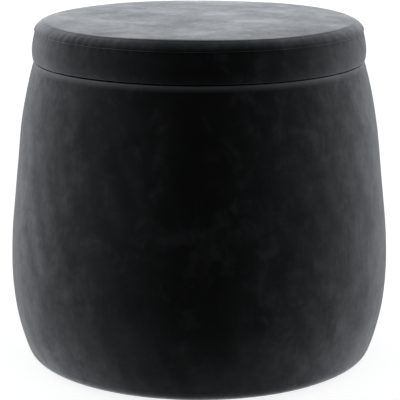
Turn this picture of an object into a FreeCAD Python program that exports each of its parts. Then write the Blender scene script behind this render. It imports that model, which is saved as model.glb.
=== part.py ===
import FreeCAD, Part
import math
import os
import Sketcher
from FreeCAD import Vector

# A round upholstered storage pouf with a lift-off lid, in millimetres.
# The origin is the centre of the footprint on the floor, and +Z is up. The back is at +Y.

SIZES = (
    # Base
    ("foot_clearance", 3.2),        # floor to the dust cover, the height of a glide
    ("dust_cloth", 0.8),
    ("velvet_thick", 1.4),
    ("board_thick", 12.0),          # base board and lid board
    ("dust_cover_radius", 146.0),
    ("glide_radius", 12.0),
    ("glide_lip", 1.2),
    ("glide_pitch_radius", 115.0),
    ("glide_nail_radius", 1.5),
    ("glide_nail_head", 4.0),
    ("glide_nail_head_tall", 1.0),
    ("glide_nail_length", 14.2),
    ("glide_nail_point", 2.0),
    # Drum
    ("drum_radius", 150.0),         # inside the bent plywood hoop
    ("hoop_thick", 4.0),
    ("hoop_joint_gap", 1.0),
    ("batten_thick", 6.0),
    ("batten_angle", 15.0),         # degrees
    ("rim_width", 10.0),
    ("rim_thick", 15.0),
    # Outside of the body, from the base up to the rim
    ("body_tall", 314.8),
    ("foot_radius", 180.3),
    ("heel_radius", 189.5),
    ("hip_radius", 200.0),
    ("belly_radius", 200.5),
    ("waist_radius", 192.5),
    ("chest_radius", 187.5),
    ("shoulder_radius", 178.0),
    ("neck_radius", 172.1),
    ("heel_round", 14.0),
    ("shoulder_round", 8.0),
    ("mouth_round", 1.2),
    ("velvet_under_radius", 128.0),  # inner edge of the velvet under the base
    ("velvet_mouth_depth", 33.0),    # how far the velvet goes down inside the mouth
    # Lining
    ("lining_thick", 1.0),
    ("strip_thick", 1.0),
    ("strip_tall", 12.0),
    ("strip_depth", 20.0),           # top of the tack strip below the rim
    ("floor_card_thick", 2.0),
    ("floor_gap", 0.2),
    # Lid
    ("lid_gap", 0.6),
    ("band_tall", 32.3),
    ("band_low_radius", 173.9),
    ("band_swell_radius", 175.8),
    ("band_upper_radius", 173.6),
    ("seam_radius", 170.7),
    ("band_round", 4.0),
    ("crease_radius", 160.3),
    ("crease_rise", 8.6),            # crease above the seam
    ("crown_rise", 2.2),             # middle of the lid above the crease
    ("crease_round", 7.0),
    ("lid_board_radius", 165.0),
    ("lid_under_radius", 132.0),     # inner edge of the velvet under the lid
    ("wadding_thick", 3.0),
    ("plug_radius", 143.6),
    ("plug_thick", 12.0),
    ("plug_cover_radius", 126.0),    # inner edge of the lining folded over the plug
    ("screw_pitch_radius", 105.0),
    ("screw_radius", 2.0),
    ("screw_head_radius", 4.0),
    ("screw_head_tall", 2.4),
    ("screw_length", 22.0),
    ("screw_clearance", 0.3),
    ("recess_half_length", 2.2),     # cross recess in a screw's head
    ("recess_half_width", 0.5),
    ("recess_depth", 1.6),
    ("screw_point", 3.0),
    # Staples
    ("staple_half", 4.5),
    ("staple_wire", 0.7),
    ("hoop_staple_leg", 11.8),
    ("cloth_staple_leg", 9.5),
    ("mouth_staple_leg", 5.7),
    ("staple_sunk", 0.2),            # hidden crowns are pulled in below the surface
    ("staple_proud", 0.3),           # the dust cover's crowns stand on the cloth
    ("staple_inset", 5.0),           # from the edge of a cloth in to its staples
)

GLIDE_COUNT = 4
HOOP_STAPLE_COUNT = 16
COVER_STAPLE_COUNT = 20
SCREW_COUNT = 6

# Heights of the side curve's control points, as shares of its full height. At these shares the
# height runs evenly along the curve.
SIDE_LEVELS = (0.0, 1 / 15, 1 / 5, 2 / 5, 3 / 5, 4 / 5, 14 / 15, 1.0)
SIDE_RADII = (
    "foot_radius", "heel_radius", "hip_radius", "belly_radius",
    "waist_radius", "chest_radius", "shoulder_radius", "neck_radius",
)
BAND_LEVELS = (0.0, 0.3, 0.67, 1.0)
BAND_RADII = ("band_low_radius", "band_swell_radius", "band_upper_radius", "seam_radius")

MATCH = 0.01                         # how near an edge must be to be the one that is asked for
PAST = 1.0                           # how far a cutting outline reaches past what it cuts


class Size:
    """A length that knows its value and the spreadsheet formula that it comes from."""

    def __init__(self, value, formula):
        self.value = value
        self.formula = formula

    def __add__(self, other):
        other = as_size(other)
        return Size(self.value + other.value, f"({self.formula} + {other.formula})")

    def __sub__(self, other):
        other = as_size(other)
        return Size(self.value - other.value, f"({self.formula} - {other.formula})")

    def __mul__(self, share):
        return Size(self.value * share, f"{self.formula} * {share!r}")

    def __neg__(self):
        return Size(-self.value, f"(0 - {self.formula})")


def as_size(item):
    if isinstance(item, Size):
        return item
    return Size(float(item), repr(float(item)))


ZERO = as_size(0)

doc = FreeCAD.newDocument("storage_pouf")
sheet = doc.addObject("Spreadsheet::Sheet", "Sizes")
for row, (alias, number) in enumerate(SIZES, 1):
    sheet.set(f"A{row}", alias)
    sheet.set(f"B{row}", str(number))
    sheet.setAlias(f"B{row}", alias)
doc.recompute()
size = {alias: Size(number, f"Sizes.{alias}") for alias, number in SIZES}

# Heights of the faces that the pieces share
cover_low = size["foot_clearance"] + size["dust_cloth"]
board_low = cover_low + size["velvet_thick"]
board_high = board_low + size["board_thick"]
cover_high = cover_low + size["body_tall"]
rim_high = cover_high - size["velvet_thick"]
rim_low = rim_high - size["rim_thick"]
strip_high = cover_high - size["strip_depth"]
strip_low = strip_high - size["strip_tall"]
card_high = board_high + size["floor_card_thick"]
lid_low = cover_high + size["lid_gap"]
lid_board_low = lid_low + size["velvet_thick"]
lid_board_high = lid_board_low + size["board_thick"]
seam_high = lid_low + size["band_tall"]
crease_high = seam_high + size["crease_rise"]
crown_high = crease_high + size["crown_rise"]
plug_high = lid_low - size["lining_thick"]
plug_low = plug_high - size["plug_thick"]
plug_cover_low = plug_low - size["lining_thick"]

# Radii that the pieces share
hoop_radius = size["drum_radius"] + size["hoop_thick"]
rim_radius = hoop_radius + size["rim_width"]
batten_radius = hoop_radius + size["batten_thick"]
mouth_radius = size["drum_radius"] - size["velvet_thick"]
strip_radius = mouth_radius - size["strip_thick"]
lining_radius = strip_radius - size["lining_thick"]


# ---- sketches and features ----

def new_body(label, turned_by=0.0):
    """A sub-part. turned_by turns it about the pouf's axis, in degrees."""
    body = doc.addObject("PartDesign::Body", label)
    body.Label = label
    body.AllowCompound = True
    body.Placement = FreeCAD.Placement(Vector(0, 0, 0), FreeCAD.Rotation(Vector(0, 0, 1), turned_by))
    return body


def origin_item(body, role):
    return [item for item in body.Origin.OriginFeatures if item.Role == role][0]


def pin(sketch, geometry, vertex, point):
    """Ties one vertex of a sketch to its two sizes."""
    for kind, axis, length in (("DistanceX", -2, point[0]), ("DistanceY", -1, point[1])):
        if length.value == 0:
            sketch.addConstraint(Sketcher.Constraint("PointOnObject", geometry, vertex, axis))
        else:
            rule = Sketcher.Constraint(kind, -1, 1, geometry, vertex, length.value)
            index = sketch.addConstraint(rule)
            sketch.setExpression(f"Constraints[{index}]", length.formula)


def draw(body, plane, edges, offset=None):
    """A closed outline on one of the body's own planes, given as its edges in order.

    An edge of two points is a straight line. An edge of more is a smooth curve with those control
    points. Each edge ends where the next one starts.
    """
    sketch = body.newObject("Sketcher::SketchObject", "Outline")
    sketch.AttachmentSupport = [(origin_item(body, plane), "")]
    sketch.MapMode = "FlatFace"
    if offset is not None:
        sketch.setExpression("AttachmentOffset.Base.z", offset.formula)
    pieces = []
    for points in edges:
        places = [Vector(x.value, y.value, 0) for x, y in points]
        if len(places) == 2:
            pieces.append(sketch.addGeometry(Part.LineSegment(*places), False))
            continue
        curve = Part.BSplineCurve()
        curve.buildFromPoles(places, False, min(3, len(places) - 1))
        pieces.append(sketch.addGeometry(curve, False))
    for piece, following in zip(pieces, pieces[1:] + pieces[:1]):
        sketch.addConstraint(Sketcher.Constraint("Coincident", piece, 2, following, 1))
    for piece, points in zip(pieces, edges):
        if len(points) == 2:
            pin(sketch, piece, 1, points[0])
            continue
        first_pole = sketch.GeometryCount
        sketch.exposeInternalGeometry(piece)
        for number, point in enumerate(points[:-1]):
            pin(sketch, first_pole + number, 3, point)
    return sketch


def add_axis(sketch, radius):
    """An upright construction line to turn an outline about."""
    line = Part.LineSegment(Vector(radius.value, 0, 0), Vector(radius.value, 1, 0))
    index = sketch.addGeometry(line, True)
    sketch.addConstraint(Sketcher.Constraint("Vertical", index))
    sketch.addConstraint(Sketcher.Constraint("DistanceY", index, 1, index, 2, 1.0))
    pin(sketch, index, 1, (radius, ZERO))


def path_edges(points):
    """The straight edges of a closed outline."""
    return [list(pair) for pair in zip(points, points[1:] + points[:1])]


def block(inner, outer, low, high):
    """The straight-sided section of a disc or a ring."""
    return path_edges([(inner, low), (outer, low), (outer, high), (inner, high)])


def turn(body, sketch, axis="V_Axis", kind="Revolution", angle=None):
    """Turns an outline about an axis of its sketch: all the way round, or evenly about the sketch."""
    feature = body.newObject(f"PartDesign::{kind}", kind)
    feature.Profile = sketch
    feature.ReferenceAxis = (sketch, [axis])
    feature.Angle = 360
    if angle is not None:
        feature.Midplane = True
        feature.setExpression("Angle", angle.formula)
    return feature


def spread(body, features, count):
    """Repeats features evenly about the pouf's axis."""
    pattern = body.newObject("PartDesign::PolarPattern", "Spread")
    pattern.Originals = features
    pattern.Axis = (origin_item(body, "Z_Axis"), [""])
    pattern.Angle = 360
    pattern.Occurrences = count
    body.Tip = pattern


def round_edge(body, radius, corner):
    """Rounds the circular edge that passes through one corner of the section."""
    doc.recompute()
    base = body.Tip
    names = []
    for number, edge in enumerate(base.Shape.Edges, 1):
        if edge.Degenerated or not isinstance(edge.Curve, Part.Circle):
            continue
        level = edge.Curve.Center.z - corner[1].value
        if math.hypot(edge.Curve.Radius - corner[0].value, level) < MATCH:
            names.append(f"Edge{number}")
    if not names:
        raise RuntimeError(f"{body.Label} has no edge to round at radius {corner[0].value}")
    fillet = body.newObject("PartDesign::Fillet", "Round")
    fillet.Base = (base, names)
    fillet.setExpression("Radius", radius.formula)


def turned_part(label, edges):
    """A sub-part that is one outline turned all the way round the pouf's axis."""
    body = new_body(label)
    turn(body, draw(body, "XZ_Plane", edges))
    return body


def side_curve(low, high, inset):
    """The body's outside from low to high, moved in by inset."""
    return [
        (size[alias] - inset, low + (high - low) * level)
        for alias, level in zip(SIDE_RADII, SIDE_LEVELS)
    ]


def band_curve(low, inset):
    """The lid's side from low to the seam, moved in by inset."""
    return [
        (size[alias] - inset, low + (seam_high - low) * level)
        for alias, level in zip(BAND_RADII, BAND_LEVELS)
    ]


def crown_curve(drop):
    """The top of the lid from its middle out to the crease, lowered by drop."""
    return [
        (ZERO, crown_high - drop),
        (size["crease_radius"] * 0.5, crown_high - drop),
        (size["crease_radius"], crease_high - drop),
    ]


def staples(label, count, plane, level, tip, crown, turned_by=0.0):
    """A ring of staples driven from crown towards tip.

    On the XY plane they are driven along the radius at a height of level. On the YZ plane they are
    driven upright at a radius of level.
    """
    body = new_body(label, turned_by)
    half = size["staple_half"]
    wire = size["staple_wire"]
    inward = wire if tip.value > crown.value else -wire
    u_outline = [
        (tip, half), (crown, half), (crown, -half), (tip, -half),
        (tip, wire - half), (crown + inward, wire - half),
        (crown + inward, half - wire), (tip, half - wire),
    ]
    if plane == "YZ_Plane":
        u_outline = [(across, along) for along, across in u_outline]
    sketch = draw(body, plane, path_edges(u_outline), level)
    pad = body.newObject("PartDesign::Pad", "Pad")
    pad.Profile = sketch
    pad.Midplane = True
    pad.setExpression("Length", wire.formula)
    spread(body, [pad], count)
    return body


# ---- the body's frame ----

def make_base_board():
    turned_part("base_board", block(ZERO, size["drum_radius"], board_low, board_high))


def make_drum_wall():
    """A bent plywood hoop whose two ends meet at the back."""
    body = turned_part("drum_wall", block(size["drum_radius"], hoop_radius, board_low, rim_high))
    half_gap = size["hoop_joint_gap"] * 0.5
    slot = path_edges([
        (-half_gap, size["drum_radius"] - PAST), (half_gap, size["drum_radius"] - PAST),
        (half_gap, hoop_radius + PAST), (-half_gap, hoop_radius + PAST),
    ])
    cut = body.newObject("PartDesign::Pocket", "Joint")
    cut.Profile = draw(body, "XY_Plane", slot)
    cut.Type = "ThroughAll"
    cut.Reversed = True


def make_batten():
    """A curved strip over the hoop's joint, between the base board and the rim ring."""
    body = new_body("wall_joint_batten")
    sketch = draw(body, "YZ_Plane", block(hoop_radius, batten_radius, board_high, rim_low))
    turn(body, sketch, angle=size["batten_angle"])


def make_rim_ring():
    turned_part("rim_ring", block(hoop_radius, rim_radius, rim_low, rim_high))


# ---- the body's soft pieces ----

def make_side_foam():
    """A shaped jacket round the hoop and the rim ring, with a groove for the batten."""
    outside = side_curve(board_low, rim_high, size["velvet_thick"])
    corners = [
        outside[-1], (rim_radius, rim_high), (rim_radius, rim_low),
        (hoop_radius, rim_low), (hoop_radius, board_low), outside[0],
    ]
    inside = [list(pair) for pair in zip(corners, corners[1:])]
    body = turned_part("side_foam", [outside] + inside)
    round_edge(body, size["heel_round"] - size["velvet_thick"], outside[0])
    round_edge(body, size["shoulder_round"] - size["velvet_thick"], outside[-1])
    groove = draw(body, "YZ_Plane", block(hoop_radius, batten_radius, board_high, rim_low))
    turn(body, groove, kind="Groove", angle=size["batten_angle"])


def make_body_cover():
    """Velvet round the outside, over the rim into the mouth, and under the base."""
    turn_in_low = cover_high - size["velvet_mouth_depth"]
    outside = side_curve(cover_low, cover_high, ZERO)
    inside = side_curve(board_low, rim_high, size["velvet_thick"])[::-1]
    over_rim = [
        outside[-1], (mouth_radius, cover_high), (mouth_radius, turn_in_low),
        (size["drum_radius"], turn_in_low), (size["drum_radius"], rim_high), inside[0],
    ]
    under_base = [
        inside[-1], (size["velvet_under_radius"], board_low),
        (size["velvet_under_radius"], cover_low), outside[0],
    ]
    edges = [outside]
    edges += [list(pair) for pair in zip(over_rim, over_rim[1:])]
    edges.append(inside)
    edges += [list(pair) for pair in zip(under_base, under_base[1:])]
    body = turned_part("body_cover", edges)
    round_edge(body, size["heel_round"], outside[0])
    round_edge(body, size["heel_round"] - size["velvet_thick"], inside[-1])
    round_edge(body, size["shoulder_round"], outside[-1])
    round_edge(body, size["shoulder_round"] - size["velvet_thick"], inside[0])
    round_edge(body, size["mouth_round"], over_rim[1])


def make_lining():
    """Card strip, wall lining folded over it, and the lined floor of the storage space."""
    turned_part("tack_strip", block(strip_radius, mouth_radius, strip_low, strip_high))
    fold_high = strip_high + size["lining_thick"]
    turned_part("lining_wall", path_edges([
        (lining_radius, board_high), (strip_radius, board_high), (strip_radius, strip_high),
        (mouth_radius, strip_high), (mouth_radius, fold_high), (lining_radius, fold_high),
    ]))
    floor_radius = lining_radius - size["floor_gap"]
    turned_part("floor_card", block(ZERO, floor_radius, board_high, card_high))
    cloth_high = card_high + size["lining_thick"]
    turned_part("lining_floor", block(ZERO, floor_radius, card_high, cloth_high))


def make_dust_cover():
    radius = size["dust_cover_radius"]
    turned_part("dust_cover", block(ZERO, radius, size["foot_clearance"], cover_low))


def make_glides():
    """Four plastic glides, each moulded round the head of its nail."""
    centre = size["glide_pitch_radius"]
    wide = centre + size["glide_radius"]
    lip = size["glide_lip"]
    shank = centre + size["glide_nail_radius"]
    head = centre + size["glide_nail_head"]
    head_high = lip + size["glide_nail_head_tall"]
    between_axes = 45.0

    glides = new_body("foot_glides", between_axes)
    outline = path_edges([
        (centre, ZERO), (wide - lip, ZERO), (wide, lip), (wide, size["foot_clearance"]),
        (shank, size["foot_clearance"]), (shank, head_high), (head, head_high), (head, lip),
        (centre, lip),
    ])
    sketch = draw(glides, "XZ_Plane", outline)
    add_axis(sketch, centre)
    spread(glides, [turn(glides, sketch, "Axis0")], GLIDE_COUNT)

    nails = new_body("glide_nails", between_axes)
    tip = lip + size["glide_nail_length"]
    outline = path_edges([
        (centre, lip), (head, lip), (head, head_high), (shank, head_high),
        (shank, tip - size["glide_nail_point"]), (centre, tip),
    ])
    sketch = draw(nails, "XZ_Plane", outline)
    add_axis(sketch, centre)
    spread(nails, [turn(nails, sketch, "Axis0")], GLIDE_COUNT)


def make_body_staples():
    half_step = 180.0 / HOOP_STAPLE_COUNT
    board_middle = board_low + size["board_thick"] * 0.5
    rim_middle = rim_high - size["rim_thick"] * 0.5
    strip_middle = strip_low + size["strip_tall"] * 0.5

    crown = hoop_radius - size["staple_sunk"]
    tip = crown - size["hoop_staple_leg"]
    staples(
        "base_hoop_staples", HOOP_STAPLE_COUNT, "XY_Plane", board_middle, tip, crown, half_step,
    )
    crown = size["drum_radius"] + size["staple_sunk"]
    tip = crown + size["hoop_staple_leg"]
    staples("rim_hoop_staples", HOOP_STAPLE_COUNT, "XY_Plane", rim_middle, tip, crown, half_step)

    crown = strip_radius + size["staple_sunk"]
    tip = crown + size["mouth_staple_leg"]
    staples("mouth_staples", HOOP_STAPLE_COUNT, "XY_Plane", strip_middle, tip, crown)

    crown = cover_low + size["staple_sunk"]
    tip = crown + size["cloth_staple_leg"]
    radius = size["velvet_under_radius"] + size["staple_inset"]
    staples("cover_staples", COVER_STAPLE_COUNT, "YZ_Plane", radius, tip, crown)

    crown = size["foot_clearance"] - size["staple_proud"]
    tip = crown + size["cloth_staple_leg"]
    radius = size["dust_cover_radius"] - size["staple_inset"]
    staples("dust_cover_staples", HOOP_STAPLE_COUNT, "YZ_Plane", radius, tip, crown)


# ---- the lid ----

def make_lid_board():
    turned_part("lid_board", block(ZERO, size["lid_board_radius"], lid_board_low, lid_board_high))


def make_lid_cushion():
    """Foam over and round the board, and a thin layer of fibre under the top panel."""
    side = band_curve(lid_board_low, size["velvet_thick"])
    side[-1] = seam_inside
    fibre_top = crown_curve(size["velvet_thick"])
    fibre_low = crown_curve(size["velvet_thick"] + size["wadding_thick"])
    foam_edges = [
        side, [seam_inside, fibre_top[-1]], [fibre_top[-1], fibre_low[-1]], fibre_low[::-1],
    ]
    board = [
        fibre_low[0], (ZERO, lid_board_high), (size["lid_board_radius"], lid_board_high),
        (size["lid_board_radius"], lid_board_low), side[0],
    ]
    foam_edges += [list(pair) for pair in zip(board, board[1:])]
    turned_part("lid_foam", foam_edges)
    turned_part("lid_wadding", [
        fibre_top, [fibre_top[-1], fibre_low[-1]], fibre_low[::-1], [fibre_low[0], fibre_top[0]],
    ])


def make_lid_cover():
    """Round top panel and side band, sewn together at the seam. The band turns under the board."""
    top = crown_curve(ZERO)
    under = crown_curve(size["velvet_thick"])[::-1]
    seam = (size["seam_radius"], seam_high)
    panel = turned_part("lid_top_panel", [
        top, [top[-1], seam], [seam, seam_inside], [seam_inside, under[0]], under,
        [under[-1], top[0]],
    ])
    round_edge(panel, size["crease_round"], top[-1])

    outside = band_curve(lid_low, ZERO)
    inside = band_curve(lid_board_low, size["velvet_thick"])
    inside[-1] = seam_inside
    turn_under = [
        inside[0], (size["lid_under_radius"], lid_board_low),
        (size["lid_under_radius"], lid_low), outside[0],
    ]
    edges = [outside, [seam, seam_inside], inside[::-1]]
    edges += [list(pair) for pair in zip(turn_under, turn_under[1:])]
    band = turned_part("lid_side_band", edges)
    round_edge(band, size["band_round"], outside[0])


def make_lid_plug():
    """The disc that centres the lid in the mouth, in its own lining, held by screws."""
    centre = size["screw_pitch_radius"]
    spare = size["screw_clearance"]
    shank = centre + size["screw_radius"]
    head = centre + size["screw_head_radius"]
    head_high = plug_cover_low + size["screw_head_tall"]
    tip = plug_cover_low + size["screw_length"]

    def screw_hole(body):
        outline = path_edges([
            (centre, plug_cover_low - PAST), (head + spare, plug_cover_low - PAST),
            (head + spare, plug_cover_low), (shank + spare, head_high),
            (shank + spare, lid_low), (centre, lid_low),
        ])
        sketch = draw(body, "XZ_Plane", outline)
        add_axis(sketch, centre)
        spread(body, [turn(body, sketch, "Axis0", "Groove")], SCREW_COUNT)

    plug = turned_part("lid_plug", block(ZERO, size["plug_radius"], plug_low, plug_high))
    screw_hole(plug)

    wide = size["plug_radius"] + size["lining_thick"]
    cover = turned_part("lid_plug_cover", path_edges([
        (ZERO, plug_cover_low), (wide, plug_cover_low), (wide, lid_low),
        (size["plug_cover_radius"], lid_low), (size["plug_cover_radius"], plug_high),
        (size["plug_radius"], plug_high), (size["plug_radius"], plug_low), (ZERO, plug_low),
    ]))
    screw_hole(cover)

    screws = new_body("lid_plug_screws")
    outline = path_edges([
        (centre, plug_cover_low), (head, plug_cover_low), (shank, head_high),
        (shank, tip - size["screw_point"]), (centre, tip),
    ])
    sketch = draw(screws, "XZ_Plane", outline)
    add_axis(sketch, centre)
    screw = turn(screws, sketch, "Axis0")
    long = size["recess_half_length"]
    thin = size["recess_half_width"]
    cross = path_edges([
        (centre + long, thin), (centre + thin, thin), (centre + thin, long),
        (centre - thin, long), (centre - thin, thin), (centre - long, thin),
        (centre - long, -thin), (centre - thin, -thin), (centre - thin, -long),
        (centre + thin, -long), (centre + thin, -thin), (centre + long, -thin),
    ])
    recess = screws.newObject("PartDesign::Pocket", "Recess")
    recess.Profile = draw(screws, "XY_Plane", cross, plug_cover_low)
    recess.Reversed = True
    recess.setExpression("Length", size["recess_depth"].formula)
    spread(screws, [screw, recess], SCREW_COUNT)


def make_lid_staples():
    crown = lid_low + size["staple_sunk"]
    tip = crown + size["cloth_staple_leg"]
    radius = size["lid_under_radius"] + size["staple_inset"]
    staples("lid_staples", COVER_STAPLE_COUNT, "YZ_Plane", radius, tip, crown)


seam_inside = (
    size["seam_radius"] - size["velvet_thick"],
    seam_high - size["velvet_thick"] * 0.5,
)

make_base_board()
make_drum_wall()
make_batten()
make_rim_ring()
make_side_foam()
make_body_cover()
make_lining()
make_dust_cover()
make_glides()
make_body_staples()
make_lid_board()
make_lid_cushion()
make_lid_cover()
make_lid_plug()
make_lid_staples()
doc.recompute()

# ---- checks and export ----

for item in doc.Objects:
    if "Invalid" in item.State or "Error" in item.State:
        raise RuntimeError(f"{item.Label} failed: {item.State}")

parts = [item for item in doc.Objects if item.isDerivedFrom("PartDesign::Body")]
for part in parts:
    if part.Shape.isNull() or not part.Shape.isValid():
        raise RuntimeError(f"{part.Label} has no valid shape")

os.makedirs("parts", exist_ok=True)
for part in parts:
    part.Shape.exportStep(f"parts/{part.Label}.step")
    box = part.Shape.BoundBox
    print(
        f"{part.Label}: {len(part.Shape.Solids)} solids, {part.Shape.Volume / 1000:.2f} cm3,"
        f" z {box.ZMin:.2f} to {box.ZMax:.2f}, radius to {box.XMax:.2f}"
    )
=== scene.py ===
import math

import bpy
import numpy as np
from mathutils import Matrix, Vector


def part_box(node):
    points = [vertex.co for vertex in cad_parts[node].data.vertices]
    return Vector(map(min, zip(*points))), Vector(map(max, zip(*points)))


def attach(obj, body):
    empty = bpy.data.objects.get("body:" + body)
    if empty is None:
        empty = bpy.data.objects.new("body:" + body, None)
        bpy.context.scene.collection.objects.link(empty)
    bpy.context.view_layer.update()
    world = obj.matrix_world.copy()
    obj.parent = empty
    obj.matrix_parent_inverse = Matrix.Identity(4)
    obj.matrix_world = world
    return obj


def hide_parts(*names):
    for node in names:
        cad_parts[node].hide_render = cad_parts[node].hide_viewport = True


# A round storage pouf in black velvet with a lift-off lid. Metres, +Z up, front at -Y, back at +Y.

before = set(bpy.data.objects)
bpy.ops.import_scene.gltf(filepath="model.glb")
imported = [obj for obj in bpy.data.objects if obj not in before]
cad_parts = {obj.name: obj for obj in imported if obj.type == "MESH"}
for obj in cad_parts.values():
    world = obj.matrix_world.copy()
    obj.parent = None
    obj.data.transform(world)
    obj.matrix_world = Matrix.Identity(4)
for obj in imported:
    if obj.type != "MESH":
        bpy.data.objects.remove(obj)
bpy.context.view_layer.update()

MM = 0.001
SEED = 7
FULL_TURN = 2 * math.pi
BACK = math.pi / 2                    # direction of the cover's seam, seen from above

# ---- sizes, from the frame ----

cover_low, cover_high = (corner.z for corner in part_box("body_cover"))
rim_low, rim_high = (corner.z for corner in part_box("rim_ring"))
rim_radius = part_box("rim_ring")[1].x
hoop_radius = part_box("drum_wall")[1].x
band_low, band_high = (corner.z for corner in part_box("lid_side_band"))
crown_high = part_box("lid_top_panel")[1].z
mouth_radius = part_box("tack_strip")[1].x
drum_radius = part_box("base_board")[1].x
strip_low, strip_high = (corner.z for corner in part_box("tack_strip"))
lining_radius = mouth_radius - 2 * MM   # inside of the wall lining
dust_low, dust_high = (corner.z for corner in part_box("dust_cover"))
dust_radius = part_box("dust_cover")[1].x
board_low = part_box("base_board")[0].z
lid_board_low, lid_board_high = (corner.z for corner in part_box("lid_board"))
lid_board_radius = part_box("lid_board")[1].x
lining_low, lining_high = (corner.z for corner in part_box("lining_wall"))
floor_low, floor_high = (corner.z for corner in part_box("lining_floor"))
floor_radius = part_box("lining_floor")[1].x
plug_low, plug_high = (corner.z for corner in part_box("lid_plug"))
plug_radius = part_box("lid_plug")[1].x
plug_cover_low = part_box("lid_plug_cover")[0].z
glide_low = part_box("foot_glides")[0].z

VELVET = 1.4 * MM                     # thickness of the velvet
LINING = 1.0 * MM

# Control points of the body's side and of the lid's side: share of the height, and radius in mm
SIDE = (
    (0.0, 180.3), (1 / 15, 189.5), (1 / 5, 200.0), (2 / 5, 200.5),
    (3 / 5, 192.5), (4 / 5, 187.5), (14 / 15, 178.0), (1.0, 172.1),
)
BAND = ((0.0, 172.9), (0.08, 173.7), (0.32, 174.8), (0.67, 173.1), (1.0, 170.1))

# Body
HEEL_ROUND = 14 * MM
SHOULDER_ROUND = 5 * MM
MOUTH_ROUND = 3 * MM
MOUTH_DEPTH = 33 * MM                 # how far the velvet goes down inside the mouth
TURN_UNDER = 22 * MM                  # velvet under the base, in from the drum's edge
SPARE = 0.3 * MM                      # room between foam and the wood in it

# Where the lid and the body meet
TOUCH_RADIUS = 158.7 * MM             # they touch from here inward
RAISED = 0.8 * MM                     # how far both stand up outside it
GAP_SHADE_RING = (165 * MM, 172.2 * MM)   # where the gap between lid and body gets painted shade, as pile pressed flat, near the outside
SHOULDER_SHEEN_DEPTH = 7.5 * MM                       # how far below its top the painted highlight reaches, where the cover bends over the rim

# Lid
SEAM_RADIUS = 170.7 * MM
SEAM = np.array([SEAM_RADIUS, band_high])
FOLD = 0.5 * MM                       # how round a sewn edge is
OVERHANG = 0.7 * MM                   # how far the panel's edge stands out over the seam
DROOP = 0.9 * MM                      # how far it hangs below the seam
ALLOWANCE = 5 * MM                    # sewn edge inside the lid
LID_EDGE_ROUND = 0.3 * MM
LID_TURN_UNDER = 11 * MM              # velvet under the lid, in from the plug's edge
KINK_ANGLE = math.radians(213.5)      # a slight corner in the lid's lower edge
BEVEL = ((0.03, 0.2), (0.2, 0.46), (0.62, 0.84))   # its curve: shares of the way in, and up
CREASE_RADIUS = 160.0 * MM
CREASE_ROUND = 7 * MM
CROWN_RISE = 1.5 * MM
FIBRE = 3 * MM                        # thickness of the wadding


# ---- outlines: arrays of (radius, height) ----

def spline(poles, count=400):
    """Points along a clamped cubic spline with evenly spread knots."""
    poles = np.array(poles, float)
    inner = len(poles) - 3
    knots = np.concatenate([np.zeros(3), np.linspace(0, 1, inner + 1), np.ones(3)])
    places = np.linspace(0, 1, count)
    weights = np.zeros((count, len(knots) - 1))
    for i in range(len(knots) - 1):
        last = knots[i + 1] == 1
        inside = (places >= knots[i]) & ((places < knots[i + 1]) | (last & (places == 1)))
        weights[:, i] = inside & (knots[i + 1] > knots[i])
    for degree in (1, 2, 3):
        higher = np.zeros((count, weights.shape[1] - 1))
        for i in range(weights.shape[1] - 1):
            rise = knots[i + degree] - knots[i]
            fall = knots[i + degree + 1] - knots[i + 1]
            if rise > 0:
                higher[:, i] += (places - knots[i]) / rise * weights[:, i]
            if fall > 0:
                higher[:, i] += (knots[i + degree + 1] - places) / fall * weights[:, i + 1]
        weights = higher
    return weights @ poles


def scaled_curve(shares, low, high, inset=0.0):
    """A side curve of shares and radii in millimetres, between two heights."""
    return spline([(radius * MM - inset, low + (high - low) * share) for share, radius in shares])


def crown_line(radius, drop=0.0, count=200):
    """The lid's top from radius in to the middle. It is nearly flat, and bends down at its edge."""
    share = np.linspace(1, 0, count) * radius / CREASE_RADIUS
    fall = CROWN_RISE * (0.3 * share ** 2 + 0.7 * share ** 9)
    return np.column_stack([CREASE_RADIUS * share, crown_high - drop - fall])


def line(start, end, count=120):
    return np.linspace(start, end, count)


def inward(outline, distance):
    """An outline moved to its left by distance."""
    along = np.gradient(outline, axis=0)
    along /= np.linalg.norm(along, axis=1)[:, None]
    return outline + distance * np.column_stack([-along[:, 1], along[:, 0]])


def polyline(*corners):
    """Straight runs between corners, each with enough points to be bent later."""
    runs = [line(np.array(a), np.array(b)) for a, b in zip(corners, corners[1:])]
    return np.concatenate(runs)


def join_round(first, second, radius, steps=24):
    """Two outlines that meet at a left-hand corner, joined by an arc of that radius."""
    one, two = inward(first, radius), inward(second, radius)
    apart = np.linalg.norm(one[:, None, :] - two[None, :, :], axis=2)
    i, j = np.unravel_index(apart.argmin(), apart.shape)
    centre = (one[i] + two[j]) / 2
    start = math.atan2(*(first[i] - centre)[::-1])
    end = math.atan2(*(second[j] - centre)[::-1])
    turn = (end - start) % FULL_TURN
    angles = start + turn * np.linspace(0, 1, steps)
    arc = centre + radius * np.column_stack([np.cos(angles), np.sin(angles)])
    return np.concatenate([first[:i], arc, second[j + 1:]])


def resample(outline, longest, turn=math.radians(9)):
    """Points along an outline, closer together where it bends."""
    steps = np.diff(outline, axis=0)
    lengths = np.linalg.norm(steps, axis=1)
    outline = outline[np.concatenate([[True], lengths > 1e-7])]
    steps = np.diff(outline, axis=0)
    lengths = np.linalg.norm(steps, axis=1)
    headings = np.unwrap(np.arctan2(steps[:, 1], steps[:, 0]))
    bends = np.abs(np.diff(headings, prepend=headings[0]))
    cost = np.concatenate([[0], np.cumsum(lengths / longest + bends / turn)])
    places = np.linspace(0, cost[-1], int(math.ceil(cost[-1])) + 1)
    return np.column_stack([np.interp(places, cost, outline[:, k]) for k in (0, 1)])


# ---- surface shape ----

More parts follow.
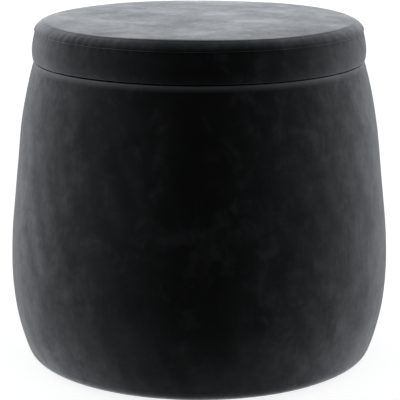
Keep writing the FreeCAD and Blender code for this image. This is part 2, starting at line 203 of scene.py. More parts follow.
class Waves:
    """A smooth, seeded unevenness that closes on itself round the pouf.

    Its values are about -1 to 1.
    """

    def __init__(self, seed, turns, heights, count=14):
        random = np.random.default_rng(SEED + seed)
        self.turns = random.integers(turns[0], turns[1] + 1, count)
        self.rise = random.uniform(*heights, count) * random.choice([-1, 1], count)
        self.phase = random.uniform(0, FULL_TURN, count)
        self.size = random.uniform(0.5, 1, count)
        self.size /= math.sqrt((self.size ** 2).sum()) * 1.1

    def at(self, angle, along):
        total = np.zeros(np.broadcast(angle, along).shape)
        for turns, rise, phase, size in zip(self.turns, self.rise, self.phase, self.size):
            total = total + size * np.sin(turns * angle + rise * along + phase)
        return total


def fade(value, start, end):
    """0 at start, 1 at end, and smooth between."""
    share = np.clip((value - start) / (end - start), 0, 1)
    return share * share * (3 - 2 * share)


def lathe(name, outline, steps, move=None, closed=False):
    """A mesh of an outline turned about the pouf's axis.

    move(angle, radius, height) gives changes of radius and height. A point on the axis is one
    vertex. With closed, the outline's last point joins its first.
    """
    angles = np.arange(steps) * FULL_TURN / steps
    radius = np.repeat(outline[:, :1], steps, axis=1)
    height = np.repeat(outline[:, 1:], steps, axis=1)
    around = np.repeat(angles[None, :], len(outline), axis=0)
    if move is not None:
        out, up = move(around, radius, height)
        radius, height = radius + out, height + up
    vertices, rows = [], []
    for k in range(len(outline)):
        if outline[k, 0] < 1e-6:
            rows.append([len(vertices)] * steps)
            vertices.append((0.0, 0.0, float(height[k].mean())))
            continue
        rows.append(list(range(len(vertices), len(vertices) + steps)))
        ring = np.column_stack([
            radius[k] * np.cos(angles), radius[k] * np.sin(angles), height[k],
        ])
        vertices.extend(map(tuple, ring))
    faces = []
    pairs = list(zip(rows, rows[1:]))
    if closed:
        pairs.append((rows[-1], rows[0]))
    for low, high in pairs:
        for i in range(steps):
            j = (i + 1) % steps
            face = [low[i], low[j], high[j], high[i]]
            face = list(dict.fromkeys(face))
            if len(face) > 2:
                faces.append(face)
    mesh = bpy.data.meshes.new(name)
    mesh.from_pydata(vertices, [], faces)
    mesh.validate()
    mesh.shade_smooth()
    piece = bpy.data.objects.new(name, mesh)
    bpy.context.scene.collection.objects.link(piece)
    return piece


# ---- materials ----

class Graph:
    """Short calls for making a material's nodes."""

    def __init__(self, name):
        self.material = bpy.data.materials.new(name)
        self.material.use_nodes = True
        self.nodes = self.material.node_tree.nodes
        self.links = self.material.node_tree.links
        self.shader = self.nodes["Principled BSDF"]
        self.place = self.nodes.new("ShaderNodeTexCoord").outputs["Object"]

    def give(self, made, key, value):
        socket = made.inputs[key]
        if isinstance(value, bpy.types.NodeSocket):
            self.links.new(value, socket)
        else:
            socket.default_value = value

    def node(self, kind, settings=None, **inputs):
        made = self.nodes.new("ShaderNode" + kind)
        for key, value in (settings or {}).items():
            setattr(made, key, value)
        for key, value in inputs.items():
            self.give(made, key.replace("_", " "), value)
        return made

    def math(self, operation, *values):
        made = self.node("Math", {"operation": operation})
        for index, value in enumerate(values):
            self.give(made, index, value)
        return made.outputs[0]

    def vector(self, operation, *values, scale=None, output="Vector"):
        made = self.node("VectorMath", {"operation": operation})
        for index, value in enumerate(values):
            self.give(made, index, value)
        if scale is not None:
            self.give(made, "Scale", scale)
        return made.outputs[output]

    def stretch(self, scale, turned=(0, 0, 0)):
        """The place in object space, turned and scaled along each axis."""
        return self.node("Mapping", Vector=self.place, Rotation=turned, Scale=scale).outputs[0]

    def noise(self, scale, detail=3.0, rough=0.5, place=None, distortion=0.0, output="Fac"):
        made = self.node(
            "TexNoise", Vector=place or self.place, Scale=scale, Detail=detail,
            Roughness=rough, Distortion=distortion,
        )
        return made.outputs[output]

    def ramp(self, value, *stops):
        """stops are (position, grey level or colour)."""
        made = self.nodes.new("ShaderNodeValToRGB")
        self.links.new(value, made.inputs[0])
        elements = made.color_ramp.elements
        while len(elements) < len(stops):
            elements.new(0.5)
        for element, (position, colour) in zip(elements, stops):
            element.position = position
            if isinstance(colour, (int, float)):
                colour = (colour, colour, colour)
            element.color = (*colour, 1)
        return made.outputs[0]

    def mix(self, share, first, second):
        made = self.node("Mix", {"data_type": "RGBA"})
        self.give(made, 0, share)
        for index, value in ((6, first), (7, second)):
            self.give(made, index, (*value, 1) if isinstance(value, tuple) else value)
        return made.outputs[2]

    def bump(self, height, distance, strength=1.0, normal=None):
        made = self.node("Bump", Height=height, Distance=distance, Strength=strength)
        if normal is not None:
            self.links.new(normal, made.inputs["Normal"])
        return made.outputs[0]

    def finish(self, **inputs):
        for key, value in inputs.items():
            self.give(self.shader, key.replace("_", " "), value)
        return self.material


def velvet(name, pressed=False):
    """Short pile: dark seen square on, bright seen edge on, with patches where it is brushed.

    Pressed flat, it has next to no sheen, which paints the shade in the gap between lid and body.
    """
    g = Graph(name)
    patches = g.noise(42, 6, 0.62, distortion=0.5)
    slant = g.stretch((1.0, 1.0, 0.45), turned=(0.25, 0.6, 0.3))
    strokes = g.noise(26, 5, 0.6, place=slant, distortion=0.9)
    broad = g.noise(9, 3, 0.5, distortion=0.4)
    mottle = g.math("ADD", g.math("MULTIPLY", patches, 0.45), g.math("MULTIPLY", strokes, 0.3))
    mottle = g.math("ADD", mottle, g.math("MULTIPLY", broad, 0.25))
    colour = g.ramp(
        mottle, (0.42, (0.0001, 0.0001, 0.0002)), (0.50, (0.0013, 0.0013, 0.0015)),
        (0.62, (0.0200, 0.0202, 0.0218)),
    )
    if not pressed:
        # Painted highlight: a lighter grey painted on the shoulder just below the lid, in place of
        # sheen.
        colour = g.mix(painted_shoulder_sheen(g), colour, (0.130, 0.131, 0.139))

    normal = g.node("NewGeometry").outputs["Normal"]
    for scale, detail, amount in ((11, 3, 0.16), (30, 5, 0.24), (150, 4, 0.14)):
        field = g.noise(scale, detail, 0.6, distortion=0.6, output="Color")
        lean = g.vector("SUBTRACT", field, (0.5, 0.5, 0.5))
        normal = g.vector("ADD", normal, g.vector("SCALE", lean, scale=amount))
    streaks = g.noise(1.0, 3, 0.6, place=g.stretch((330, 330, 14)), output="Color")
    lean = g.vector("MULTIPLY", g.vector("SUBTRACT", streaks, (0.5, 0.5, 0.5)), (0.1, 0.1, 0.0))
    normal = g.vector("NORMALIZE", g.vector("ADD", normal, lean))

    pile = g.noise(1500, 2, 0.6)
    rows = g.noise(1.0, 2, 0.5, place=g.stretch((900, 900, 60)))
    fine = g.math("ADD", g.math("MULTIPLY", pile, 0.7), g.math("MULTIPLY", rows, 0.3))
    # Sheen weight 0.05 where pressed: next to no sheen, which paints the shade in the gap between
    # lid and body.
    return g.finish(
        Base_Color=colour, Roughness=g.ramp(mottle, (0.3, 0.8), (0.7, 0.95)),
        Specular_IOR_Level=0.0, Sheen_Weight=0.05 if pressed else 1.0, Sheen_Roughness=0.44,
        Sheen_Tint=(0.93, 0.96, 1.0, 1), Normal=g.bump(fine, 0.25 * MM, 0.3, normal),
    )


def painted_shoulder_sheen(g):
    """The painted highlight just below the lid, where the cloth bends over the rim: how much
    lighter grey is painted there in place of sheen.
    """
    def share(value, empty, full):
        rise = g.math("DIVIDE", g.math("SUBTRACT", value, empty), full - empty)
        return g.node("Clamp", Value=rise).outputs[0]

    height = g.node("SeparateXYZ", Vector=g.place).outputs["Z"]
    radius = g.vector("LENGTH", g.stretch((1, 1, 0)), output="Value")
    bend = g.math(
        "MULTIPLY", share(height, cover_high - SHOULDER_SHEEN_DEPTH, cover_high),
        share(height, cover_high + 0.3 * MM, cover_high),
    )
    bend = g.math("POWER", bend, 1.6)
    return g.math("MULTIPLY", bend, share(radius, 169 * MM, 171 * MM))


def lining_cloth():
    """Plain woven polyester, dark grey with a slight gloss."""
    g = Graph("woven_lining")
    warps = g.noise(1.0, 1, 0.4, place=g.stretch((1400, 1400, 0)))
    wefts = g.node(
        "TexWave", {"bands_direction": "Z"}, Vector=g.place, Scale=420.0, Distortion=0.6,
        Detail=1.0,
    ).outputs["Fac"]
    weave = g.math("MULTIPLY", g.math("ADD", warps, wefts), 0.5)
    colour = g.mix(weave, (0.030, 0.030, 0.033), (0.085, 0.085, 0.092))
    colour = g.mix(g.math("MULTIPLY", g.noise(12, 3), 0.4), colour, (0.045, 0.045, 0.050))
    soft = g.bump(g.noise(55, 3), 0.6 * MM, 0.5)
    return g.finish(
        Base_Color=colour, Roughness=g.ramp(weave, (0.2, 0.55), (0.8, 0.75)),
        Specular_IOR_Level=0.35, Sheen_Weight=0.15, Sheen_Roughness=0.4,
        Normal=g.bump(weave, 0.15 * MM, 0.5, soft),
    )


def non_woven():
    """Spunbonded fabric with a grid of small pressed dots."""
    g = Graph("spunbond")
    fibres = g.noise(1.0, 4, 0.7, place=g.stretch((700, 260, 700)), distortion=2.0)
    dots = g.node(
        "TexVoronoi", {"feature": "DISTANCE_TO_EDGE"}, Vector=g.place, Scale=560.0,
        Randomness=0.25,
    ).outputs["Distance"]
    pressed = g.ramp(dots, (0.05, 0.0), (0.22, 1.0))
    height = g.math("ADD", g.math("MULTIPLY", fibres, 0.4), g.math("MULTIPLY", pressed, 0.6))
    return g.finish(
        Base_Color=g.mix(fibres, (0.008, 0.008, 0.009), (0.030, 0.030, 0.032)),
        Roughness=g.ramp(pressed, (0.0, 0.55), (1.0, 0.85)), Specular_IOR_Level=0.3,
        Normal=g.bump(height, 0.2 * MM, 0.6),
    )


def foam():
    g = Graph("cut_foam")
    cells = g.node("TexVoronoi", Vector=g.place, Scale=900.0).outputs["Distance"]
    colour = g.mix(g.noise(20, 4, 0.6), (0.60, 0.55, 0.40), (0.78, 0.74, 0.60))
    colour = g.mix(g.ramp(cells, (0.0, 0.5), (0.35, 0.0)), colour, (0.42, 0.36, 0.24))
    return g.finish(
        Base_Color=colour, Roughness=g.ramp(cells, (0.0, 0.95), (0.6, 0.8)),
        Normal=g.bump(cells, 0.5 * MM, 0.6),
    )


def wadding():
    g = Graph("fibre_wadding")
    tangle = g.noise(1.0, 6, 0.75, place=g.stretch((240, 240, 600)), distortion=3.0)
    return g.finish(
        Base_Color=g.mix(tangle, (0.72, 0.72, 0.70), (0.90, 0.90, 0.88)),
        Roughness=g.ramp(tangle, (0.3, 0.85), (0.7, 0.98)),
        Normal=g.bump(tangle, 1.0 * MM, 0.6),
    )


def fibreboard():
    g = Graph("fibreboard")
    fibres = g.noise(1.0, 6, 0.7, place=g.stretch((420, 420, 900)))
    colour = g.mix(fibres, (0.30, 0.195, 0.11), (0.47, 0.33, 0.20))
    colour = g.mix(g.math("MULTIPLY", g.noise(8, 3), 0.5), colour, (0.36, 0.24, 0.14))
    return g.finish(
        Base_Color=colour, Roughness=g.ramp(fibres, (0.2, 0.6), (0.8, 0.8)),
        Specular_IOR_Level=0.3, Normal=g.bump(fibres, 0.15 * MM, 0.4),
    )


def plywood():
    """Birch veneer with upright grain, and glue lines between the plies where an edge shows."""
    g = Graph("bent_plywood")
    ply = 0.67 * MM
    grain = g.noise(1.0, 6, 0.6, place=g.stretch((260, 260, 9)), distortion=0.6)
    figure = g.noise(1.0, 3, 0.5, place=g.stretch((30, 30, 2.5)), distortion=1.5)
    veneer = g.mix(grain, (0.50, 0.345, 0.19), (0.72, 0.55, 0.35))
    veneer = g.mix(g.math("MULTIPLY", figure, 0.45), veneer, (0.58, 0.41, 0.24))
    radius = g.vector("LENGTH", g.stretch((1, 1, 0)), output="Value")
    depth = g.math("DIVIDE", g.math("PINGPONG", radius, ply), ply)
    normal = g.node("SeparateXYZ", Vector=g.node("NewGeometry").outputs["Normal"])
    edge = g.ramp(g.math("ABSOLUTE", normal.outputs["Z"]), (0.6, 0.0), (0.8, 1.0))
    glue = g.math("MULTIPLY", g.ramp(depth, (0.0, 0.5), (0.18, 0.0)), edge)
    return g.finish(
        Base_Color=g.mix(glue, veneer, (0.20, 0.12, 0.06)),
        Roughness=g.ramp(grain, (0.2, 0.5), (0.8, 0.7)), Specular_IOR_Level=0.35,
        Normal=g.bump(grain, 0.12 * MM, 0.4),
    )


def grey_card():
    g = Graph("grey_card")
    pulp = g.noise(300, 5, 0.7)
    flecks = g.ramp(g.noise(620, 2, 0.5), (0.64, 0.0), (0.72, 0.5))
    colour = g.mix(pulp, (0.26, 0.22, 0.17), (0.40, 0.35, 0.28))
    return g.finish(
        Base_Color=g.mix(flecks, colour, (0.16, 0.14, 0.12)),
        Roughness=g.ramp(pulp, (0.2, 0.7), (0.8, 0.9)), Specular_IOR_Level=0.25,
        Normal=g.bump(pulp, 0.1 * MM, 0.4),
    )


def glide_plastic():
    g = Graph("glide_plastic")
    scuffs = g.noise(1.0, 4, 0.7, place=g.stretch((120, 900, 120)))
    worn = g.ramp(scuffs, (0.6, 0.0), (0.75, 0.6))
    return g.finish(
        Base_Color=g.mix(worn, (0.012, 0.012, 0.013), (0.06, 0.06, 0.062)),
        Roughness=g.ramp(scuffs, (0.35, 0.38), (0.7, 0.6)),
        Normal=g.bump(g.noise(1800, 3, 0.6), 0.05 * MM, 0.4),
    )


def steel(name, light, dark):
    g = Graph(name)
    drawn = g.noise(1.0, 4, 0.7, place=g.stretch((1800, 1800, 300)))
    spots = g.ramp(g.noise(260, 3, 0.6), (0.4, 0.0), (0.7, 0.5))
    return g.finish(
        Base_Color=g.mix(spots, light, dark), Metallic=1.0,
        Roughness=g.ramp(drawn, (0.3, 0.25), (0.7, 0.45)), Normal=g.bump(drawn, 0.03 * MM, 0.3),
    )


FLOOR_GLOW = 0.85


def floor_paint():
    g = Graph("pale_floor")
    grain = g.noise(3, 2, 0.5)
    return g.finish(
        Base_Color=g.mix(grain, (0.40, 0.40, 0.40), (0.42, 0.42, 0.42)), Roughness=0.9,
        Specular_IOR_Level=0.0, Emission_Color=(1, 1, 1, 1), Emission_Strength=FLOOR_GLOW,
    )


VELVET_CLOTH = velvet("black_velvet")
# A velvet with next to no sheen, for painted shade in the gap between lid and body.
GAP_SHADE_VELVET = velvet("pressed_gap_shade_velvet", pressed=True)
LINING_CLOTH = lining_cloth()
SPUNBOND = non_woven()
FOAM = foam()
WADDING = wadding()
BOARD = fibreboard()
PLYWOOD = plywood()
CARD = grey_card()
STEEL_WIRE = steel("steel_wire", (0.62, 0.62, 0.63), (0.42, 0.42, 0.44))

NODE_MATERIALS = {
    "base_board": BOARD, "rim_ring": BOARD, "lid_board": BOARD, "lid_plug": BOARD,
    "drum_wall": PLYWOOD, "wall_joint_batten": PLYWOOD,
    "tack_strip": CARD, "floor_card": CARD,
    "foot_glides": glide_plastic(), "glide_nails": STEEL_WIRE,
    "base_hoop_staples": STEEL_WIRE, "rim_hoop_staples": STEEL_WIRE,
    "mouth_staples": STEEL_WIRE, "cover_staples": STEEL_WIRE,
    "dust_cover_staples": STEEL_WIRE, "lid_staples": STEEL_WIRE,
    "lid_plug_screws": steel("zinc_screw", (0.66, 0.65, 0.60), (0.46, 0.45, 0.42)),
}


# Pieces whose faces in the gap between lid and body get painted shade.
GAP_SHADE_PIECES = ("pouf_cover", "lid_band")


def paint_gap_shade(mesh):
    """Gives the pressed velvet to the faces where lid and body touch, near the outside.

    The lid's weight presses the pile flat there, and its lack of edge sheen paints the shade in the
    gap.
    """
    mesh.materials.append(GAP_SHADE_VELVET)
    low, high = cover_high - 0.5 * MM, band_low + RAISED + 0.1 * MM
    inner, outer = GAP_SHADE_RING
    for face in mesh.polygons:
        x, y, z = face.center
        if inner < math.hypot(x, y) < outer and low < z < high:
            face.material_index = 1


def place_piece(piece, material, body, slot, *nodes):
    """Gives a piece its material and its body, and hides the CAD nodes that it stands for. Its slot
    is not used.
    """
    piece.data.materials.append(material)
    # Painted shade: velvet with next to no sheen on the faces in the gap between lid and body.
    if piece.name in GAP_SHADE_PIECES:
        paint_gap_shade(piece.data)
    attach(piece, body)
    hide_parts(*nodes)
    return piece


def dress_nodes():
    """Materials for the CAD nodes that are shown as they are."""
    for node, material in NODE_MATERIALS.items():
        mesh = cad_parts[node].data
        mesh.materials.clear()
        mesh.materials.append(material)


# ---- the body's soft pieces ----

soft_dents = Waves(1, (2, 9), (4, 24))
small_dents = Waves(2, (14, 40), (30, 120))
gathers = Waves(3, (44, 66), (0, 60), 9)
back_puckers = Waves(4, (0, 0), (180, 420), 5)
foam_dents = Waves(9, (3, 20), (10, 90))


def seam_groove(angle, radius, half_width, depth):
    """How far a cloth dips at its upright back seam."""
    across = (angle - BACK) * radius
    return -depth * np.exp(-((across / half_width) ** 2))


def shell(outline, thick, longest):
    """A closed outline of a cloth: its outer face, and back along its inner face."""
    outer = resample(outline, longest)
    inner = resample(inward(outline, thick), 3 * longest, math.radians(30))[::-1]
    return np.concatenate([outer, inner])


def make_body_cover():
    """Velvet round the outside, over the rim into the mouth, and gathered under the base."""
    side = scaled_curve(SIDE, cover_low, cover_high + RAISED)
    under = line((drum_radius - TURN_UNDER, cover_low), side[0])
    over = polyline(side[-1], (TOUCH_RADIUS, cover_high), (mouth_radius, cover_high))
    down = line((mouth_radius, cover_high), (mouth_radius, cover_high - MOUTH_DEPTH))
    outline = join_round(under, side, HEEL_ROUND)
    outline = join_round(outline, over, SHOULDER_ROUND)
    outline = join_round(outline, down, MOUTH_ROUND)

    def move(angle, radius, height):
        is_side = fade(height, cover_low + 4 * MM, cover_low + 30 * MM)
        is_side = is_side * fade(height, cover_high + 1 * MM, cover_high - 22 * MM)
        is_side = is_side * (radius > mouth_radius + 6 * MM)
        out = 0.35 * MM * soft_dents.at(angle, height) + 0.12 * MM * small_dents.at(angle, height)
        pucker = 1 + 0.35 * back_puckers.at(0 * angle, height)
        out = out + seam_groove(angle, radius, 1.3 * MM, 0.9 * MM) * pucker
        out = out + seam_groove(angle, radius, 9 * MM, -0.5 * MM)
        is_under = fade(radius, 178 * MM, 160 * MM) * (height < cover_low + 6 * MM)
        is_under = is_under * fade(radius, dust_radius - 2 * MM, dust_radius + 12 * MM)
        return out * is_side, -0.6 * MM * (1 + gathers.at(angle, radius)) * is_under

    cover = lathe("pouf_cover", shell(outline, VELVET, 3.2 * MM), 576, move, closed=True)
    place_piece(cover, VELVET_CLOTH, "pouf_body", "velvet", "body_cover")


def make_side_foam():
    """The shaped jacket of foam between the drum and the velvet, with a channel for the batten."""
    inset = VELVET + 0.8 * MM
    side = scaled_curve(SIDE, board_low, rim_high, inset)
    under = line((hoop_radius + SPARE, board_low), side[0])
    over = line(side[-1], (rim_radius + SPARE, rim_high))
    outline = join_round(under, side, 12 * MM)
    outline = join_round(outline, over, 5 * MM)
    inside = polyline(
        (rim_radius + SPARE, rim_high), (rim_radius + SPARE, rim_low - SPARE),
        (hoop_radius + SPARE, rim_low - SPARE), (hoop_radius + SPARE, board_low),
    )
    outline = np.concatenate([resample(outline, 8 * MM), resample(inside, 20 * MM)])
    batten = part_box("wall_joint_batten")[1]
    half_angle = math.asin(batten.x / batten.y) + math.radians(1)

    def move(angle, radius, height):
        near = fade(abs(angle - BACK), half_angle + 0.02, half_angle)
        channel = near * (radius < hoop_radius + 2 * SPARE) * (batten.y - hoop_radius + SPARE)
        outside = (radius > hoop_radius + 14 * MM) & (height < rim_high - 8 * MM)
        return channel + 0.3 * MM * (foam_dents.at(angle, height) - 1) * outside, 0 * angle

    pad = lathe("side_foam_pad", outline, 360, move, closed=True)
    place_piece(pad, FOAM, "pouf_body", "foam", "side_foam")


# ---- the lining and the dust cover ----

wall_ripples = Waves(10, (5, 26), (0, 9))
floor_ripples = Waves(11, (0, 6), (10, 60))
hem_puckers = Waves(12, (30, 60), (0, 30), 9)


def make_wall_lining():
    """A tube of cloth hung from the tack strip, over which its top edge folds."""
    inner = lining_radius
    outer = inner + LINING
    fold = mouth_radius - 0.1 * MM
    outline = polyline(
        (outer, lining_low), (outer, lining_high - 1.1 * MM), (fold, lining_high - 1.0 * MM),
        (fold, lining_high - 0.5 * MM), (fold - 0.6 * MM, lining_high),
        (inner + 0.6 * MM, lining_high), (inner, lining_high - 0.6 * MM), (inner, lining_low),
    )

    def move(angle, radius, height):
        free = fade(height, lining_low + 2 * MM, lining_low + 40 * MM)
        free = free * fade(height, strip_low - 2 * MM, strip_low - 50 * MM)
        out = 0.75 * MM * wall_ripples.at(angle, height) * free
        near_strip = fade(height, strip_low - 45 * MM, strip_low - 8 * MM)
        near_strip = near_strip * fade(height, strip_high + 1 * MM, strip_high - 8 * MM)
        out = out + 0.25 * MM * hem_puckers.at(angle, height) * near_strip * (radius < outer)
        seam = seam_groove(angle, radius, 1.2 * MM, -0.8 * MM)
        return out + seam * (height < strip_low), 0 * angle

    wall = lathe("wall_lining", resample(outline, 6 * MM, math.radians(20)), 432, move, True)
    place_piece(wall, LINING_CLOTH, "pouf_body", "lining_cloth", "lining_wall")


def make_floor_lining():
    """A round cloth laid on the floor card."""
    outline = polyline(
        (0, floor_low), (floor_radius, floor_low), (floor_radius, floor_high - 0.3 * MM),
        (floor_radius - 0.4 * MM, floor_high), (0, floor_high),
    )

    def move(angle, radius, height):
        ripple = floor_ripples.at(angle, radius) * fade(radius, 0, 50 * MM)
        lift = 0.45 * MM * (1 + ripple) * fade(radius, floor_radius, floor_radius - 25 * MM)
        return 0 * angle, lift * (height > floor_low + 0.5 * LINING)

    cloth = lathe("floor_lining", resample(outline, 5 * MM, math.radians(30)), 240, move)
    place_piece(cloth, LINING_CLOTH, "pouf_body", "lining_cloth", "lining_floor")


def make_dust_cover():
    """A round cloth under the base, its edge turned in and held by a ring of staples."""
    hem = 10 * MM
    outline = polyline(
        (0, dust_low), (dust_radius - 0.5 * MM, dust_low), (dust_radius, dust_low + 0.4 * MM),
        (dust_radius - 0.5 * MM, dust_high), (0, dust_high),
    )
    staple_count = 16

    def move(angle, radius, height):
        below = height < dust_low + 0.3 * MM
        free = fade(radius, dust_radius - 3 * MM, dust_radius - 22 * MM)
        pulled = 0.5 - 0.5 * np.cos(staple_count * angle)
        sag = -0.25 * MM * (1 + floor_ripples.at(angle, radius * 1.3)) * free
        sag = sag - 0.45 * MM * pulled * fade(radius, dust_radius - 45 * MM, dust_radius - 8 * MM)
        turned_in = -0.25 * MM * fade(radius, dust_radius - hem - 0.6 * MM, dust_radius - hem)
        away = fade(radius, 0, 30 * MM)
        return 0 * angle, (sag * away + turned_in * pulled) * below

    cloth = lathe("base_dust_cover", resample(outline, 4 * MM, math.radians(30)), 320, move)
    place_piece(cloth, SPUNBOND, "pouf_body", "non_woven", "dust_cover")


# ---- the lid ----

lid_dents = Waves(5, (2, 8), (10, 60))
lid_puckers = Waves(6, (60, 120), (0, 40), 9)
lid_gathers = Waves(7, (40, 60), (0, 60), 9)
top_dents = Waves(8, (1, 5), (12, 40))
edge_dents = Waves(13, (2, 7), (0, 5), 6)


def make_lid_band():
    """Velvet round the lid's side, sewn to the panel above and gathered under the board."""
    side = scaled_curve(BAND, band_low + RAISED, band_high)
    side = side[side[:, 1] < band_high - 0.25 * MM]
    under = polyline(
        (plug_radius - LID_TURN_UNDER, band_low), (TOUCH_RADIUS, band_low), side[0],
    )
    tuck = line(side[-1], side[-1] + (-ALLOWANCE, 0.0))
    outline = join_round(under, side, LID_EDGE_ROUND)
    outline = join_round(outline, tuck, FOLD)

    def move(angle, radius, height):
        is_side = fade(radius, SEAM_RADIUS - 14 * MM, SEAM_RADIUS - 4 * MM)
        out = 0.2 * MM * lid_dents.at(angle, height)
        near_seam = fade(height, band_high - 10 * MM, band_high - 1 * MM)
        out = out + 0.10 * MM * lid_puckers.at(angle, height) * near_seam
        out = out + seam_groove(angle, radius, 1.0 * MM, 0.7 * MM)
        is_under = fade(radius, 170 * MM, 158 * MM) * (height < band_low + 5 * MM)
        up = -0.2 * MM * (1 + lid_gathers.at(angle, radius)) * is_under
        is_low = fade(height, band_low + 9 * MM, band_low) * fade(radius, 160 * MM, 168 * MM)
        kink = np.exp(-abs(angle - KINK_ANGLE) * radius / (9 * MM))
        up = up + (0.25 * MM * edge_dents.at(angle, 0) - 0.5 * MM * kink) * is_low
        return out * is_side, up

    band = lathe("lid_band", shell(outline, VELVET, 2.4 * MM), 480, move, closed=True)
    place_piece(band, VELVET_CLOTH, "lid", "velvet", "lid_side_band")


def make_lid_panel():
    """The round top of velvet: a slight crown, a soft crease, a bevel, and in at the seam."""
    crown = crown_line(CREASE_RADIUS)
    edge = SEAM + (OVERHANG, -DROOP)
    tuck = line(edge + (-ALLOWANCE, 0.0), edge)
    shares = ((0, 0), *BEVEL, (1, 1))
    bevel = spline([edge + (crown[0] - edge) * share for share in shares])
    outline = join_round(tuck, bevel, FOLD)
    outline = join_round(outline, crown, CREASE_ROUND)
    outer = resample(outline, 4.0 * MM)
    outer[-1, 0] = 0.0
    inner = inward(outline, VELVET)
    inner = resample(inner[inner[:, 0] > 0], 12 * MM, math.radians(30))[::-1]
    inner[0, 0] = 0.0

    def move(angle, radius, height):
        inside = fade(radius, SEAM_RADIUS - 2 * MM, SEAM_RADIUS - 14 * MM)
        up = 0.45 * MM * (top_dents.at(angle, radius) - 0.6) * inside * fade(radius, 0, 60 * MM)
        near_seam = fade(radius, SEAM_RADIUS - 14 * MM, SEAM_RADIUS - 3 * MM)
        return 0.10 * MM * lid_puckers.at(angle, radius) * near_seam, up

    panel = lathe("lid_panel", np.concatenate([outer, inner]), 480, move, closed=True)
    place_piece(panel, VELVET_CLOTH, "lid", "velvet", "lid_top_panel")


def make_lid_cushion():
    """Foam over and round the board, with a thin disc of fibre on it."""
    inset = VELVET + 0.5 * MM
    crown = crown_line(CREASE_RADIUS - 2 * MM)
    side = scaled_curve(BAND, lid_board_low + SPARE, band_high, inset)
    side = side[side[:, 1] < band_high - 2 * MM]
    board = polyline(
        (0, lid_board_high + SPARE), (lid_board_radius + SPARE, lid_board_high + SPARE),
        (lid_board_radius + SPARE, lid_board_low + SPARE), side[0],
    )
    outline = join_round(board, side, 3 * MM)
    foam_crown = crown - (0, inset + FIBRE + 0.9 * MM)
    outline = np.concatenate([outline, line(side[-1], foam_crown[0], 20), foam_crown])
    outline = resample(outline, 6 * MM, math.radians(20))
    outline[[0, -1], 0] = 0.0

    def move_foam(angle, radius, height):
        outside = (radius > lid_board_radius + 2 * SPARE) & (height < band_high)
        return 0.2 * MM * (foam_dents.at(angle, height) - 1) * outside, 0 * angle

    pad = lathe("lid_foam_pad", outline, 300, move_foam)
    place_piece(pad, FOAM, "lid", "foam", "lid_foam")

    top = crown - (0, inset + 0.7 * MM)
    outline = np.concatenate([crown[::-1] - (0, inset + FIBRE + 0.6 * MM), top])
    outline = resample(outline, 6 * MM, math.radians(20))
    outline[[0, -1], 0] = 0.0

    def move_fibre(angle, radius, height):
        ragged = fade(radius, CREASE_RADIUS - 12 * MM, CREASE_RADIUS - 2 * MM)
        return 0.8 * MM * (foam_dents.at(angle, 0 * height) - 1) * ragged, 0 * angle

    sheet_of_fibre = lathe("lid_wadding_pad", outline, 300, move_fibre)
    place_piece(sheet_of_fibre, WADDING, "lid", "wadding", "lid_wadding")


def make_plug_lining():
    """Lining stretched over the plug, dimpled by the screws and gathered round its side."""
    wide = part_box("lid_plug_cover")[1].x
    thick = 0.9 * MM
    fold_high = band_low - 0.1 * MM
    outline = polyline(
        (0, plug_cover_low), (wide - 1.2 * MM, plug_cover_low),
        (wide - 0.3 * MM, plug_cover_low + 0.4 * MM), (wide, plug_cover_low + 1.2 * MM),
        (wide, fold_high), (wide - 18 * MM, fold_high), (wide - 18 * MM, fold_high - thick),
        (wide - thick, fold_high - thick), (wide - thick, plug_cover_low + thick),
        (0, plug_cover_low + thick),
    )
    outline = resample(outline, 2.4 * MM, math.radians(20))
    outline[[0, -1], 0] = 0.0
    screw_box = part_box("lid_plug_screws")
    pitch_radius = screw_box[1].x - 4 * MM
    screw_count = 6

    def move(angle, radius, height):
        x, y = radius * np.cos(angle), radius * np.sin(angle)
        dimple = 0 * x
        for k in range(screw_count):
            turn = k * FULL_TURN / screw_count
            apart = np.hypot(x - pitch_radius * math.cos(turn), y - pitch_radius * math.sin(turn))
            dimple = np.maximum(dimple, fade(apart, 9 * MM, 4.3 * MM))
        below = height < plug_cover_low + 0.3 * MM
        is_side = (radius > plug_radius + 0.5 * MM) * fade(height, plug_low, plug_high)
        out = 0.3 * MM * (lid_gathers.at(angle, 0 * angle) - 0.4) * is_side
        return out, 0.75 * MM * dimple * below

    cloth = lathe("plug_lining", outline, 480, move)
    place_piece(cloth, LINING_CLOTH, "lid", "lining_cloth", "lid_plug_cover")


make_body_cover()
make_side_foam()
make_wall_lining()
make_floor_lining()
make_dust_cover()
make_lid_band()
make_lid_panel()
make_lid_cushion()
make_plug_lining()
dress_nodes()


# ---- floor, light and camera ----

def make_floor():
    """A pale floor that curves up into a wall far from the pouf. Its light isn't thrown back."""
    reach, bend = 9.0, 3.0
    angles = np.linspace(0, math.pi / 2, 13)
    curve = np.column_stack([reach + bend * np.sin(angles), bend - bend * np.cos(angles)])
    outline = np.concatenate([[(0.0, 0.0)], curve, [(reach + bend, 4 * bend)]])
    floor = lathe("floor", outline, 96)
    floor.data.materials.append(floor_paint())
    floor.location.z = glide_low
    floor.visible_diffuse = False
    floor.visible_glossy = False
    floor.visible_shadow = False


LIGHT_STRENGTH = 6.6
# Shares of that strength, round from behind the pouf (0) past its sides (0.5) to its front (1)
LIGHT_ROUND = (
    (0.0, 0.14), (0.1, 0.15), (0.21, 0.24), (0.35, 0.80), (0.47, 1.0), (0.56, 0.38), (0.63, 0.0),
)
# Shares from straight below (0) past the horizon (0.5) to straight above (1)
LIGHT_RISE = (
    (0.0, 0.15), (0.30, 0.2), (0.42, 0.6), (0.5, 1.0), (0.57, 0.48), (0.68, 0.10), (1.0, 0.05),
)
LIGHT_SIDES = (1.08, 0.96)            # from the left, and from the right
LIGHT_ABOVE = ((0.0, 0.0), (0.60, 0.0), (0.76, 0.06))   # added from above, the same all round


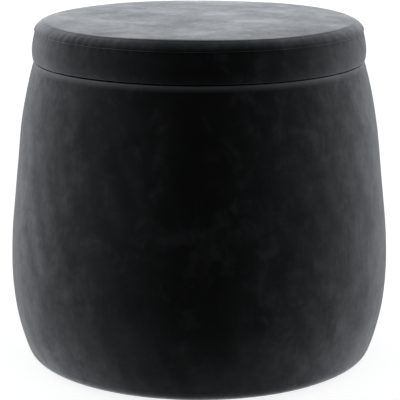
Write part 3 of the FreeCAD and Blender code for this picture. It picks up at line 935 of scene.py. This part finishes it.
def make_light():
    """Soft light from all round, strongest from both sides and a little behind."""
    world = bpy.data.worlds.new("studio")
    bpy.context.scene.world = world
    world.use_nodes = True
    nodes, links = world.node_tree.nodes, world.node_tree.links
    directions = nodes.new("ShaderNodeTexCoord")
    axes = nodes.new("ShaderNodeSeparateXYZ")
    links.new(directions.outputs["Generated"], axes.inputs[0])

    def math_node(operation, first, second=None):
        made = nodes.new("ShaderNodeMath")
        made.operation = operation
        for index, value in enumerate((first, second)):
            if isinstance(value, bpy.types.NodeSocket):
                links.new(value, made.inputs[index])
            elif value is not None:
                made.inputs[index].default_value = value
        return made.outputs[0]

    def ramp(value, stops):
        made = nodes.new("ShaderNodeValToRGB")
        made.color_ramp.interpolation = "EASE"
        links.new(value, made.inputs[0])
        elements = made.color_ramp.elements
        while len(elements) < len(stops):
            elements.new(0.5)
        for element, (position, share) in zip(elements, stops):
            element.position = position
            element.color = (share, share, share, 1)
        return made.outputs[0]

    side, back, up = (axes.outputs[axis] for axis in "XYZ")
    angle = math_node("ARCTAN2", math_node("ABSOLUTE", side), back)
    share_round = ramp(math_node("DIVIDE", angle, math.pi), LIGHT_ROUND)
    half = math_node("MULTIPLY", math_node("ARCSINE", up), 1 / math.pi)
    share_rise = ramp(math_node("ADD", half, 0.5), LIGHT_RISE)
    left, right = LIGHT_SIDES
    lean = math_node("MULTIPLY", side, (right - left) / 2)
    total = math_node("MULTIPLY", share_round, share_rise)
    total = math_node("MULTIPLY", total, math_node("ADD", lean, (left + right) / 2))
    total = math_node("ADD", total, ramp(math_node("ADD", half, 0.5), LIGHT_ABOVE))
    background = nodes["Background"]
    background.inputs["Color"].default_value = (0.97, 0.985, 1.0, 1)
    links.new(math_node("MULTIPLY", total, LIGHT_STRENGTH), background.inputs["Strength"])


def make_camera():
    data = bpy.data.cameras.new("camera")
    camera = bpy.data.objects.new("camera", data)
    bpy.context.scene.collection.objects.link(camera)
    data.sensor_width = 36
    data.lens = 155.26
    camera.location = (1.0 * MM, -1.790, 0.5951)
    camera.rotation_euler = (math.pi / 2 - 0.235, 0, 0)
    bpy.context.scene.camera = camera


make_floor()
make_light()
make_camera()
bpy.context.scene.view_settings.view_transform = "Standard"
